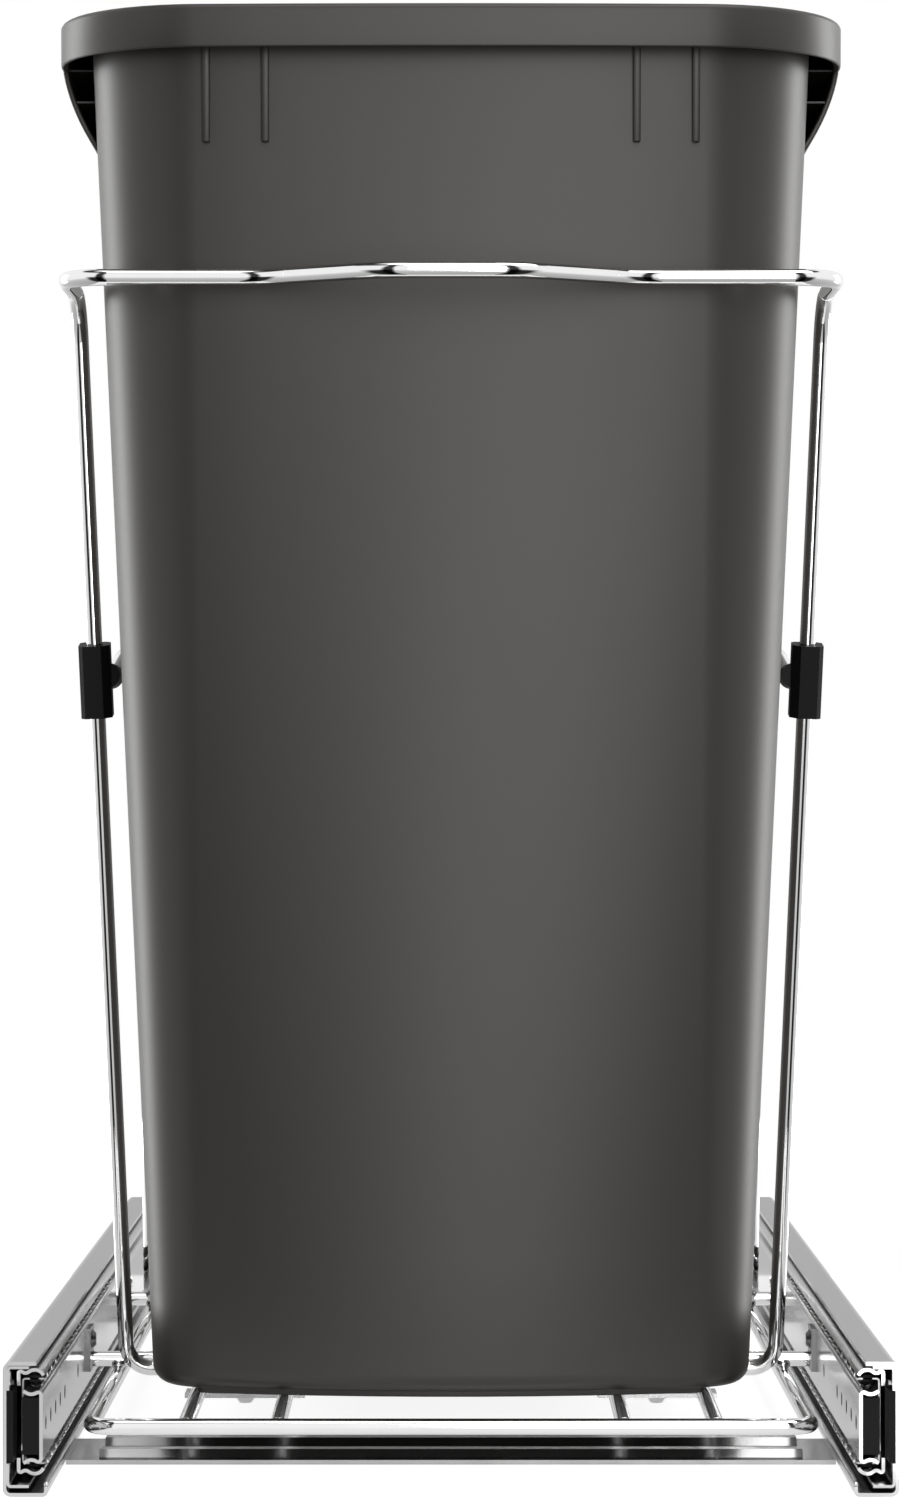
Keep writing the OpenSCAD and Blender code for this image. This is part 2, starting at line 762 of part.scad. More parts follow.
module bin_rim() {
    grow = bin_spread + rim_out;
    soft = 2;
    difference() {
        hull() {
            bin_slab(grow, bin_top_z - rim_h, rim_h - soft);
            bin_slab(grow - soft, bin_top_z - 0.01);
        }
        hull()
            bin_slab(grow - bin_wall, bin_top_z - rim_h - 1, rim_h + 1 - bin_wall);
    }
}

// curved shell under the side of the rim that the fingers go behind
module bin_grip(side) {
    outer_x = bin_bottom_w / 2 + bin_spread + rim_out - grip_t / 2;
    start_z = bin_top_z - rim_h - grip_h;
    wall_x = bin_bottom_w / 2 + bin_draft * (start_z - bin_z) - bin_wall / 2;
    rise = grip_h + rim_h / 2;
    path = [for (a = [0 : 9 : 90]) [wall_x + (outer_x - wall_x) * sin(a), start_z + rise * (1 - cos(a))]];
    mirror([side < 0 ? 1 : 0, 0, 0])
        translate([0, bin_mid_y, 0])
            along_y(-grip_len / 2, grip_len / 2)
                polygon(sheet_outline(path, grip_t));
}

// ribs under the rim on the front and back walls
module bin_ribs() {
    top_z = bin_top_z - bin_wall;
    low_z = bin_top_z - rim_h - rib_h;
    for (face = [-1, 1], s = [-1, 1], x = [rib_inner_x, rib_inner_x + rib_pitch])
        translate([s * x, bin_mid_y, 0])
            hull()
                for (z = [low_z, low_z + rib_out, top_z])
                    let (wall = bin_bottom_len / 2 + bin_draft * (z - bin_z))
                        translate([0, face * (wall + (z == low_z ? 0 : rib_out) / 2 - bin_wall / 4), z])
                            cube([rib_w, bin_wall / 2 + (z == low_z ? 0 : rib_out), 0.02], center = true);
}

module bin() {
    color("dimgray") {
        difference() {
            union() {
                bin_body(0, bin_top_z - 0.01, bin_edge_r);
                bin_rim();
                bin_ribs();
                for (side = [-1, 1])
                    bin_grip(side);
                hull()
                    bin_slab(-foot_inset, bin_z, foot_h + bin_wall);
            }
            bin_body(bin_wall, bin_top_z + 1, bin_edge_r - bin_wall);
            hull()
                bin_slab(-foot_inset - bin_wall, bin_z - 1, foot_h + 1);
        }
    }
}

bracket(-1);  // left_bracket
bracket(1);  // right_bracket
floor_plate(plate_ys[0]);  // front_plate
floor_plate(plate_ys[1]);  // rear_plate
outer_rail(-1);  // left_outer_rail
outer_rail(1);  // right_outer_rail
rear_stop(-1);  // left_rear_stop
rear_stop(1);  // right_rear_stop
front_guide(-1);  // left_front_guide
front_guide(1);  // right_front_guide
small_cage(-1);  // left_small_cage
small_cage(1);  // right_small_cage
small_balls(-1);  // left_small_balls
small_balls(1);  // right_small_balls
middle_rail(-1);  // left_middle_rail
middle_rail(1);  // right_middle_rail
big_cage(-1);  // left_big_cage
big_cage(1);  // right_big_cage
big_balls(-1);  // left_big_balls
big_balls(1);  // right_big_balls
inner_rail(-1);  // left_inner_rail
inner_rail(1);  // right_inner_rail
front_bumper(-1);  // left_front_bumper
front_bumper(1);  // right_front_bumper
carrier_tabs();
tab_rivets();
carrier_wire(carrier_ys[0]);  // front_carrier_wire
carrier_wire(carrier_ys[1]);  // rear_carrier_wire
base_loop();
floor_wires();
handle();
rear_hoop();
handle_clamps();
clamp_nuts();
clamp_screws();
left_clip();
right_clip();
bin();
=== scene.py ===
# %% [markdown]
# # A pull-out bin on ball slides
# The CAD model brings in every rigid piece at its real size and place: the floor plates,
# the slides, the wire cradle and the clips. This lesson gives those pieces their finishes,
# and models the moulded bin again with soft edges, because a moulding is all rounded
# corners. Lengths are in metres, the front faces -Y and +Z is up.

# %% Load the frame
import json
import math

import bmesh
import bpy
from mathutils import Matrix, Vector


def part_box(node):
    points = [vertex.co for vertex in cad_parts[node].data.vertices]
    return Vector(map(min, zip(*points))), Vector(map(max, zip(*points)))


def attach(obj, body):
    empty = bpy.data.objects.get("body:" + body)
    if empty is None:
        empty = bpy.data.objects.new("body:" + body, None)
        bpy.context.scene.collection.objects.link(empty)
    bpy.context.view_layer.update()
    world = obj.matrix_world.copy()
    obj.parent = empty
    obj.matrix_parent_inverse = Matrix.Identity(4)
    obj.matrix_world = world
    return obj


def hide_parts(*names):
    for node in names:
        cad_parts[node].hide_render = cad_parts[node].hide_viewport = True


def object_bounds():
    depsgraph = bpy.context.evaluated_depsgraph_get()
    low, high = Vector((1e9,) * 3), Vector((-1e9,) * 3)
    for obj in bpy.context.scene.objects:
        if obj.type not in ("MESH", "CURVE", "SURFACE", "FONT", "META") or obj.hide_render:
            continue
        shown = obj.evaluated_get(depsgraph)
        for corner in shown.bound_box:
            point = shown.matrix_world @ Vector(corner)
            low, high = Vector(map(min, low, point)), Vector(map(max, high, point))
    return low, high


MM = 0.001
SIDES = ((-1, "left"), (1, "right"))
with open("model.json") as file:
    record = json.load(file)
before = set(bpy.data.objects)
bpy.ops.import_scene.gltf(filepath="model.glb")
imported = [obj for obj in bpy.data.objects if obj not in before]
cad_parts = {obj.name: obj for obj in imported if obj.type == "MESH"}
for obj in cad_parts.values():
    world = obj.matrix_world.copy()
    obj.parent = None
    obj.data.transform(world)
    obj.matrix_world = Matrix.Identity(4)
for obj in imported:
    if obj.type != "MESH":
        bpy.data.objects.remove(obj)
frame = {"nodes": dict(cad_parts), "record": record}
nodes = frame["nodes"]
cad_low, cad_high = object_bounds()
print("CAD box", [round(v, 4) for v in cad_high - cad_low])

# %% [markdown]
# ## Helpers for every piece
# A finished piece keeps its object at the origin and its place in its mesh, as the CAD
# nodes do. Smooth shading with an angle limit keeps flat faces flat and round ones round.

# %% Piece helpers
SMOOTH_ANGLE = math.radians(35)


def link_mesh(name, bm, material):
    mesh = bpy.data.meshes.new(name)
    bm.to_mesh(mesh)
    bm.free()
    mesh.materials.append(material)
    item = bpy.data.objects.new(name, mesh)
    bpy.context.scene.collection.objects.link(item)
    return item


def make_piece(name, bm, material, body):
    piece = link_mesh(name, bm, material)
    piece.data.shade_smooth()
    piece.data.set_sharp_from_angle(angle=SMOOTH_ANGLE)
    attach(piece, body)
    print(name, len(piece.data.polygons), "faces")
    return piece


# %% [markdown]
# ## Shared shader effects
# Rolled sheet has fine lines along its length, and plating and moulded plastic have a faint
# unevenness. Each effect is a node group with two outputs: the fine relief first, then the
# broad pattern that spreads colour and gloss. A pattern is written as its stretch along X, Y
# and Z and its amount of detail, and a material sets how fine both patterns are.

# %% Node helpers
def add_node(tree, kind, **settings):
    node = tree.nodes.new(kind)
    for key, value in settings.items():
        setattr(node, key, value)
    return node


def feed(tree, socket, value):
    if isinstance(value, (int, float)):
        socket.default_value = value
    else:
        tree.links.new(value, socket)


def math_node(tree, operation, *values):
    node = add_node(tree, "ShaderNodeMath", operation=operation)
    for socket, value in zip(node.inputs, values):
        feed(tree, socket, value)
    return node.outputs[0]


def map_range(tree, value, low, high):
    node = add_node(tree, "ShaderNodeMapRange")
    for label, source in (("Value", value), ("To Min", low), ("To Max", high)):
        feed(tree, node.inputs[label], source)
    return node.outputs["Result"]


def stretched_noise(tree, stretch, scale, detail):
    place = add_node(tree, "ShaderNodeTexCoord")
    mapping = add_node(tree, "ShaderNodeMapping")
    mapping.inputs["Scale"].default_value = stretch
    tree.links.new(place.outputs["Object"], mapping.inputs["Vector"])
    node = add_node(tree, "ShaderNodeTexNoise")
    tree.links.new(mapping.outputs["Vector"], node.inputs["Vector"])
    feed(tree, node.inputs["Scale"], scale)
    feed(tree, node.inputs["Detail"], detail)
    return node.outputs["Fac"]


# %% Shader groups
def build_effect(name, patterns):
    group = bpy.data.node_groups.new(name, "ShaderNodeTree")
    for label in patterns:
        group.interface.new_socket(f"{label} Scale", in_out="INPUT", socket_type="NodeSocketFloat")
    for label in patterns:
        group.interface.new_socket(label, in_out="OUTPUT", socket_type="NodeSocketFloat")
    entry = add_node(group, "NodeGroupInput")
    result = add_node(group, "NodeGroupOutput")
    for label, (stretch, detail) in patterns.items():
        pattern = stretched_noise(group, stretch, entry.outputs[f"{label} Scale"], detail)
        group.links.new(pattern, result.inputs[label])
    print("shader group", name, "gives", list(patterns))
    return group


LONG_LINES = (1, 0.02, 1)
SHORT_LINES = (1, 0.5, 1)
EVEN = (1, 1, 1)
DOWNWARDS = (1, 1, 0.25)
rolled_lines = build_effect("rolled_lines", {"Lines": (LONG_LINES, 2), "Mottle": (SHORT_LINES, 4)})
moulded_grain = build_effect("moulded_grain", {"Grain": (EVEN, 3), "Flow": (DOWNWARDS, 3)})

# %% [markdown]
# ## Materials
# Each material is one Principled BSDF. The broad pattern blends two colours and two values
# of roughness, and a small bump gives the rolled lines or the moulding grain. A bump is
# written as its strength and its height.

# %% Material builder
def new_material(name, group, scales, colours, roughness, bump, metallic, specular):
    material = bpy.data.materials.new(name)
    material.use_nodes = True
    tree = material.node_tree
    shader = tree.nodes["Principled BSDF"]
    shader.inputs["Metallic"].default_value = metallic
    shader.inputs["Specular IOR Level"].default_value = specular
    effect = add_node(tree, "ShaderNodeGroup", node_tree=group)
    for label, scale in scales.items():
        effect.inputs[label].default_value = scale
    fine, broad = effect.outputs
    blend = add_node(tree, "ShaderNodeMix", data_type="RGBA")
    blend.inputs["A"].default_value = (*colours[0], 1)
    blend.inputs["B"].default_value = (*colours[1], 1)
    tree.links.new(broad, blend.inputs["Factor"])
    tree.links.new(blend.outputs["Result"], shader.inputs["Base Color"])
    tree.links.new(map_range(tree, broad, *roughness), shader.inputs["Roughness"])
    relief = add_node(tree, "ShaderNodeBump")
    relief.inputs["Strength"].default_value = bump[0]
    relief.inputs["Distance"].default_value = bump[1]
    tree.links.new(fine, relief.inputs["Height"])
    tree.links.new(relief.outputs["Normal"], shader.inputs["Normal"])
    print("material", name)
    return material


def metal(name, colours, roughness, bump):
    scales = {"Lines Scale": 900, "Mottle Scale": 45}
    return new_material(
        name, rolled_lines, scales, colours, roughness, bump, metallic=1, specular=0.5
    )


def plastic(name, colours, roughness, bump, specular):
    scales = {"Grain Scale": 1500, "Flow Scale": 9}
    return new_material(
        name, moulded_grain, scales, colours, roughness, bump, metallic=0, specular=specular
    )


def grey(value, warmth=0):
    return (value * (1 + warmth), value, value * (1 - warmth))


# %% Metals and plastics
BIN_WARMTH = 0.16
chrome_wire = metal(
    "chrome_wire",
    colours=(grey(0.82), grey(0.9)), roughness=(0.03, 0.09), bump=(0.02, 0.02 * MM),
)
polished_ball = metal(
    "polished_ball",
    colours=(grey(0.8), grey(0.88)), roughness=(0.04, 0.1), bump=(0.02, 0.01 * MM),
)
zinc_rail = metal(
    "zinc_rail",
    colours=(grey(0.5), grey(0.62)), roughness=(0.1, 0.2), bump=(0.1, 0.03 * MM),
)
zinc_bracket = metal(
    "zinc_bracket",
    colours=(grey(0.52), grey(0.62)), roughness=(0.16, 0.28), bump=(0.12, 0.04 * MM),
)
floor_sheet = metal(
    "floor_sheet",
    colours=(grey(0.42), grey(0.54)), roughness=(0.16, 0.3), bump=(0.15, 0.05 * MM),
)
pressed_cage = metal(
    "pressed_cage",
    colours=(grey(0.32), grey(0.45)), roughness=(0.25, 0.4), bump=(0.1, 0.03 * MM),
)
zinc_fixing = metal(
    "zinc_fixing",
    colours=(grey(0.6), grey(0.76)), roughness=(0.16, 0.3), bump=(0.1, 0.03 * MM),
)
# painted shade: the carrier tabs' plating colour is darkened to stand in for shade
tab_painted_shade = metal(
    "tab_painted_shade",
    colours=(grey(0.1), grey(0.2)), roughness=(0.2, 0.35), bump=(0.2, 0.05 * MM),
)
black_moulding = plastic(
    "black_moulding",
    colours=(grey(0.004), grey(0.007)), roughness=(0.4, 0.5), bump=(0.1, 0.05 * MM),
    specular=0.12,
)
bin_moulding = plastic(
    "bin_moulding",
    colours=(grey(0.0175, BIN_WARMTH), grey(0.0215, BIN_WARMTH)),
    roughness=(0.36, 0.44), bump=(0.12, 0.06 * MM), specular=0.5,
)

# %% [markdown]
# ## Finishes for the CAD pieces
# The record already says which slot each piece belongs to, so the slot picks the finish.
# The tabs get a darker colour than the other fixings; that dark colour is painted shade.

# %% Assign the finishes
finish_of_slot = {
    "bracket": zinc_bracket,
    "rail": zinc_rail,
    "plate": floor_sheet,
    "wire": chrome_wire,
    "ball": polished_ball,
    "cage": pressed_cage,
    "fixing": zinc_fixing,
    "black_plastic": black_moulding,
    "bin_plastic": bin_moulding,
}
# the carrier tabs take the darker colour, which is painted shade
finish_of_node = {"carrier_tabs": tab_painted_shade}
for subpart in frame["record"]["subparts"]:
    mesh = nodes[subpart["node"]].data
    mesh.materials.clear()
    finish = finish_of_node.get(subpart["node"], finish_of_slot[subpart["material_slot"]])
    mesh.materials.append(finish)
print(len(nodes), "CAD nodes have a finish")

# %% [markdown]
# ## The bin
# The real bin is one moulding with the same wall all over, so its outline is a rounded
# rectangle carried along one profile: foot, rounded bottom edge, sloping wall, hollow rim,
# and back down the inside. It starts as one flat face with bevelled corners, and each
# profile step extrudes the edge loop and grows it outwards in plan. The front is slightly
# bowed, more at the bottom than at the rim, the sides draw in a little towards the foot,
# and the rim stands a millimetre further out than in the CAD model.

# %% Bin plan
bin_low, bin_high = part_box("bin")
BIN_DRAFT = 0.0436
BIN_WALL = 2.2 * MM
BIN_EDGE = 6 * MM
FOOT_HEIGHT = 3 * MM
FOOT_INSET = 14.5 * MM
RIM_OUT = 9 * MM
RIM_EXTRA = 1 * MM
RIM_HEIGHT = 14 * MM
CORNER_RADIUS = 17 * MM
BOW_LOW = 15 * MM
BOW_HIGH = 3 * MM
BOW_FORWARD = 11 * MM
LOW_NARROW = 0.01
bin_height = bin_high.z - bin_low.z
bin_spread = BIN_DRAFT * bin_height
bin_middle = (bin_low + bin_high) / 2
plan_half = Vector(
    (
        (bin_high.x - bin_low.x) / 2 - bin_spread - RIM_OUT,
        (bin_high.y - bin_low.y) / 2 - bin_spread - RIM_OUT,
    )
)
core_half = plan_half - Vector((CORNER_RADIUS, CORNER_RADIUS))


def plan_direction(co):
    near = Vector(
        (
            max(-core_half.x, min(core_half.x, co.x)),
            max(-core_half.y, min(core_half.y, co.y - bin_middle.y)),
        )
    )
    return (Vector((co.x, co.y - bin_middle.y)) - near).normalized()


def draft_at(z):
    return BIN_DRAFT * (z - bin_low.z)


def height_share(z):
    return (z - bin_low.z) / bin_height


def bow_at(x, z):
    share = height_share(z)
    across = x / (plan_half.x + draft_at(z))
    bow = BOW_LOW + (BOW_HIGH - BOW_LOW) * share
    return bow * across * across - BOW_FORWARD * (1 - share)


print("half of the bin's foot in plan", [round(v, 4) for v in plan_half])

# %% Bin profile
ROUND = 2 * MM
SMALL_ROUND = 0.6 * MM
WALL_RINGS = 12
SMALL_STEPS = 3
ROUND_STEPS = 5
EDGE_STEPS = 8
INNER_STEPS = 6
top = bin_high.z
rim_low = top - RIM_HEIGHT
rim_grow = bin_spread + RIM_OUT + RIM_EXTRA
floor_z = bin_low.z + FOOT_HEIGHT
foot_low = bin_low.z + SMALL_ROUND
wall_low = floor_z + BIN_EDGE
wall_high = top - BIN_WALL
inside_top = bin_spread - BIN_WALL
edge_centre = (-BIN_EDGE, wall_low)


def arc_steps(centre, radius, start, end, count):
    turns = [math.radians(start + (end - start) * i / count) for i in range(count + 1)]
    return [(centre[0] + radius * math.cos(t), centre[1] + radius * math.sin(t)) for t in turns]


def small_arc(grow, z, start, end):
    return arc_steps((grow, z), SMALL_ROUND, start, end, SMALL_STEPS)


def on_the_slope(steps):
    return [(grow + draft_at(z), z) for grow, z in steps]


def wall_line(rings, inset):
    heights = [wall_low + (wall_high - wall_low) * ring / WALL_RINGS for ring in rings]
    return on_the_slope([(-inset, z) for z in heights])


profile = small_arc(-FOOT_INSET - BIN_WALL + SMALL_ROUND, foot_low, 180, 270)
profile += small_arc(-FOOT_INSET - SMALL_ROUND, foot_low, 270, 360)
profile += small_arc(-FOOT_INSET + SMALL_ROUND, floor_z - SMALL_ROUND, 180, 90)
profile += on_the_slope(arc_steps(edge_centre, BIN_EDGE, 270, 360, EDGE_STEPS))
profile += wall_line(range(1, WALL_RINGS + 1), 0)
profile += [(rim_grow - BIN_WALL, wall_high), (rim_grow - BIN_WALL, rim_low + SMALL_ROUND)]
profile += small_arc(rim_grow - SMALL_ROUND, rim_low + SMALL_ROUND, 270, 360)
profile += arc_steps((rim_grow - ROUND, top - ROUND), ROUND, 0, 90, ROUND_STEPS)
profile += arc_steps((inside_top + ROUND, top - ROUND), ROUND, 90, 180, ROUND_STEPS)
profile += wall_line(range(WALL_RINGS - 1, 0, -1), BIN_WALL)
profile += on_the_slope(arc_steps(edge_centre, BIN_EDGE - BIN_WALL, 360, 270, INNER_STEPS))
print(len(profile), "steps in the bin's profile")

# %% Bin shell
CORNER_SEGMENTS = 12
SIDE_CUTS = 8


def set_ring(verts, outward, grow, z):
    front = bin_middle.y - core_half.y
    for vert, (base, direction) in zip(verts, outward):
        vert.co = Vector((base.x + direction.x * grow, base.y + direction.y * grow, z))
        vert.co.x *= 1 - LOW_NARROW * (1 - height_share(z))
        if base.y < front + SMALL_ROUND:
            vert.co.y += bow_at(vert.co.x, z)


def build_bin_shell():
    bm = bmesh.new()
    bmesh.ops.create_grid(bm, x_segments=1, y_segments=1, size=1)
    bmesh.ops.scale(bm, vec=(plan_half.x, plan_half.y, 1), verts=bm.verts)
    bmesh.ops.bevel(
        bm, geom=bm.verts[:], offset=CORNER_RADIUS, offset_type="OFFSET",
        affect="VERTICES", segments=CORNER_SEGMENTS, profile=0.5, material=-1,
    )
    long_edges = [e for e in bm.edges if e.calc_length() > CORNER_RADIUS]
    bmesh.ops.subdivide_edges(bm, edges=long_edges, cuts=SIDE_CUTS)
    bmesh.ops.translate(bm, vec=(0, bin_middle.y, 0), verts=bm.verts)
    start = bm.faces[:][0]
    ring = [loop.vert for loop in start.loops]
    outward = [(v.co.copy(), plan_direction(v.co)) for v in ring]
    set_ring(ring, outward, *profile[0])
    edges = [loop.edge for loop in start.loops]
    for grow, z in profile[1:]:
        made = bmesh.ops.extrude_edge_only(bm, edges=edges)["geom"]
        edges = [g for g in made if isinstance(g, bmesh.types.BMEdge)]
        after = [g for g in made if isinstance(g, bmesh.types.BMVert)]
        lifted = {}
        for vert in after:
            base = min(range(len(outward)), key=lambda i: (ring[i].co - vert.co).length_squared)
            lifted[base] = vert
        ring = [lifted[i] for i in range(len(outward))]
        set_ring(ring, outward, grow, z)
    bmesh.ops.contextual_create(bm, geom=edges)
    bmesh.ops.recalc_face_normals(bm, faces=bm.faces)
    return bm


bin_shell = make_piece("bin_shell", build_bin_shell(), bin_moulding, "waste_bin")
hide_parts("bin")

# %% [markdown]
# ## Ribs and hand grips under the rim
# Thin ribs stiffen the rim on the front and back, and on each side a curved shell runs from
# the rim down to the wall, so that fingers can go behind it. A rib is a block whose lower
# end is drawn in to the wall. A grip is a curved strip that is extruded, given thickness and
# rounded, with two thin webs between it and the wall.

# %% Ribs
RIB_WIDTH = 2.4 * MM
RIB_OUT = 4 * MM
RIB_TAPER = 0.55
RIB_DROP = 29 * MM
RIB_PLACES = (59.5 * MM, 78.5 * MM)
RIB_ROUND = 0.5 * MM
ROUND_SEGMENTS = 2


def edges_of(verts):
    return list(dict.fromkeys(edge for vert in verts for edge in vert.link_edges))


def round_edges(bm, edges, offset, segments):
    bmesh.ops.bevel(
        bm, geom=edges, offset=offset, affect="EDGES", segments=segments, profile=0.5, material=-1
    )


def build_ribs():
    bm = bmesh.new()
    rib_low = rim_low - RIB_DROP
    rib_high = wall_high - SMALL_ROUND
    for face in (-1, 1):
        for x in [side * place for side, _ in SIDES for place in RIB_PLACES]:
            made = bmesh.ops.create_cube(bm, size=1)["verts"]
            for vert in made:
                upper = vert.co.z > 0
                z = rib_high if upper else rib_low
                out = RIB_OUT if upper else RIB_OUT * RIB_TAPER
                depth = out if vert.co.y * face > 0 else -BIN_WALL / 2
                bow = bow_at(x, z) if face < 0 else 0
                wall = plan_half.y + draft_at(z)
                y = bin_middle.y + face * (wall + depth) + bow
                vert.co = Vector((x + vert.co.x * RIB_WIDTH, y, z))
            round_edges(bm, edges_of(made), RIB_ROUND, ROUND_SEGMENTS)
    bmesh.ops.recalc_face_normals(bm, faces=bm.faces)
    return bm


make_piece("bin_ribs", build_ribs(), bin_moulding, "waste_bin")

# %% Hand grips
GRIP_LENGTH = 262 * MM
GRIP_DROP = 27.6 * MM
GRIP_WALL = 1.8 * MM
GRIP_STEPS = 10
GRIP_ROUND = 0.6 * MM
GRIP_ROUND_SEGMENTS = 3
GRIP_WEBS = (9.5 * MM, -0.9 * MM)
GRIP_WEB_WALL = 0.6 * MM
GRIP_SLANT = 0.4
grip_outer = plan_half.x + rim_grow
grip_inner = plan_half.x + draft_at(rim_low - GRIP_DROP) - SMALL_ROUND / 2


def grip_x(drop):
    share = drop / GRIP_DROP
    drawn_in = GRIP_SLANT * share + (1 - GRIP_SLANT) * share * share
    return grip_outer - (grip_outer - grip_inner) * drawn_in


def build_grip_strip(side):
    bm = bmesh.new()
    front = bin_middle.y - GRIP_LENGTH / 2
    drops = [GRIP_DROP * i / GRIP_STEPS for i in range(GRIP_STEPS + 1)]
    points = [(grip_outer - SMALL_ROUND, rim_low + RIM_HEIGHT / 2)]
    points += [(grip_x(drop), rim_low - drop) for drop in drops]
    line = [bm.verts.new((side * x, front, z)) for x, z in points]
    edges = [bm.edges.new(pair) for pair in zip(line, line[1:])]
    made = bmesh.ops.extrude_edge_only(bm, edges=edges)["geom"]
    far = [g for g in made if isinstance(g, bmesh.types.BMVert)]
    bmesh.ops.translate(bm, vec=(0, GRIP_LENGTH, 0), verts=far)
    bmesh.ops.recalc_face_normals(bm, faces=bm.faces)
    outwards = sum(face.normal.x for face in bm.faces) * side
    if outwards < 0:
        bmesh.ops.reverse_faces(bm, faces=bm.faces)
    bmesh.ops.solidify(bm, geom=bm.faces[:], thickness=GRIP_WALL)
    sharp = [e for e in bm.edges if e.is_manifold and e.calc_face_angle() > SMOOTH_ANGLE]
    round_edges(bm, sharp, GRIP_ROUND, GRIP_ROUND_SEGMENTS)
    return bm


def build_grip(side):
    bm = build_grip_strip(side)
    for drop in GRIP_WEBS:
        z = rim_low - drop
        reach = grip_x(drop) - GRIP_WALL
        start = plan_half.x + draft_at(z) - BIN_WALL / 2
        size = (reach - start, GRIP_LENGTH - GRIP_WALL, GRIP_WEB_WALL)
        centre = (side * (reach + start) / 2, bin_middle.y, z)
        web = bmesh.ops.create_cube(bm, size=1)["verts"]
        bmesh.ops.scale(bm, vec=size, verts=web)
        bmesh.ops.translate(bm, vec=centre, verts=web)
    bmesh.ops.recalc_face_normals(bm, faces=bm.faces)
    return bm


for side, label in SIDES:
    make_piece(f"{label}_hand_grip", build_grip(side), bin_moulding, "waste_bin")

# %% [markdown]
# ## Ball retainers in the slides
# The balls show along each slide as bright dots in a dark line, above and below the inner
# rail, where the retainer's edge lies between the two rails. The retainer's edge is a thin
# strip, the dots are flattened spheres at the balls' spacing, and a small black end piece
# closes the front of each race. All of them travel with the middle rail.

# %% Retainer edges
EDGE_WALL = 0.25 * MM
EDGE_HEIGHT = 1.2 * MM
EDGE_LEVEL = 13.65 * MM
EDGE_ROUND = EDGE_WALL / 4
PLUG_SIZE = Vector((3.8, 4.6, 2.6)) * MM
PLUG_LEVEL = 13.3 * MM
PLUG_IN = 3.4 * MM
PLUG_ROUND = 0.4 * MM


def retainer_box(side):
    low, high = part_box("left_big_cage" if side < 0 else "right_big_cage")
    inner_x = high.x if side < 0 else low.x
    return inner_x, low.y, high.y, (low.z + high.z) / 2


def add_block(bm, centre, size, rounding):
    made = bmesh.ops.create_cube(bm, size=1)["verts"]
    bmesh.ops.scale(bm, vec=size, verts=made)
    bmesh.ops.translate(bm, vec=centre, verts=made)
    round_edges(bm, edges_of(made), rounding, ROUND_SEGMENTS)


def build_retainer_edges(side):
    bm = bmesh.new()
    inner_x, front, back, middle = retainer_box(side)
    edge_x = inner_x + side * EDGE_WALL
    plug_x = inner_x + side * PLUG_IN
    for level in (-1, 1):
        edge_place = (edge_x, (front + back) / 2, middle + level * EDGE_LEVEL)
        add_block(bm, edge_place, (EDGE_WALL, back - front, EDGE_HEIGHT), EDGE_ROUND)
        plug_place = (plug_x, front + PLUG_SIZE.y / 2, middle + level * PLUG_LEVEL)
        add_block(bm, plug_place, PLUG_SIZE, PLUG_ROUND)
    return bm


for side, label in SIDES:
    _, front, back, _ = retainer_box(side)
    print(label, "retainer is", round(back - front, 4), "long")

# %% Ball dots
BALL_COUNT = 18
BALL_PITCH = 16 * MM
DOT_SIZE = Vector((0.8, 1.3, 0.95)) * MM
DOT_SEGMENTS = (12, 8)


def add_bead(bm, centre, size, segments):
    around, up = segments
    made = bmesh.ops.create_uvsphere(bm, u_segments=around, v_segments=up, radius=1)["verts"]
    bmesh.ops.scale(bm, vec=size, verts=made)
    bmesh.ops.translate(bm, vec=centre, verts=made)


def build_ball_dots(side):
    bm = bmesh.new()
    inner_x, front, _, middle = retainer_box(side)
    dot_x = inner_x + side * EDGE_WALL
    for level in (-1, 1):
        for index in range(BALL_COUNT):
            y = front + (index + 0.5) * BALL_PITCH
            add_bead(bm, (dot_x, y, middle + level * EDGE_LEVEL), DOT_SIZE, DOT_SEGMENTS)
    return bm


for side, label in SIDES:
    body = f"{label}_middle"
    retainer = build_retainer_edges(side)
    make_piece(f"{label}_retainer_edges", retainer, black_moulding, body)
    make_piece(f"{label}_ball_dots", build_ball_dots(side), polished_ball, body)

# %% [markdown]
# ## Rolled lips on the brackets
# The lower edge of each bracket is rolled over, which closes most of the gap under the slide
# and shows as a bright strip beside it. The roll sits on the bracket's own lip, clear of the
# middle rail above.

# %% Bracket rolls
ROLL_WIDTH = 1.5 * MM
ROLL_LOW = 2.9 * MM
ROLL_HIGH = 4.6 * MM
ROLL_ROUND = 0.5 * MM
ROLL_SHORT = 1 * MM


def build_bracket_roll(side):
    bm = bmesh.new()
    low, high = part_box("left_bracket" if side < 0 else "right_bracket")
    face_x = high.x if side < 0 else low.x
    roll_x = face_x + side * ROLL_WIDTH / 2
    centre = (roll_x, (low.y + high.y) / 2, (ROLL_LOW + ROLL_HIGH) / 2)
    length = high.y - low.y - 2 * ROLL_SHORT
    add_block(bm, centre, (ROLL_WIDTH, length, ROLL_HIGH - ROLL_LOW), ROLL_ROUND)
    return bm


for side, label in SIDES:
    roll = build_bracket_roll(side)
    make_piece(f"{label}_bracket_roll", roll, zinc_bracket, "floor_frame")

# %% [markdown]
# ## Weld beads on the cradle
# The wires of the cradle are welded where they meet. A small bead lies at each end of the
# floor wires, and between a carrier wire and each wire that it crosses. The places come from
# the boxes of the wires themselves.

# %% Weld beads
INNER_WIRE_X = 56 * MM
END_BEAD = Vector((3.0, 1.3, 2.6)) * MM
CROSS_BEAD = Vector((2.3, 2.3, 0.9)) * MM
BEAD_SEGMENTS = (16, 10)


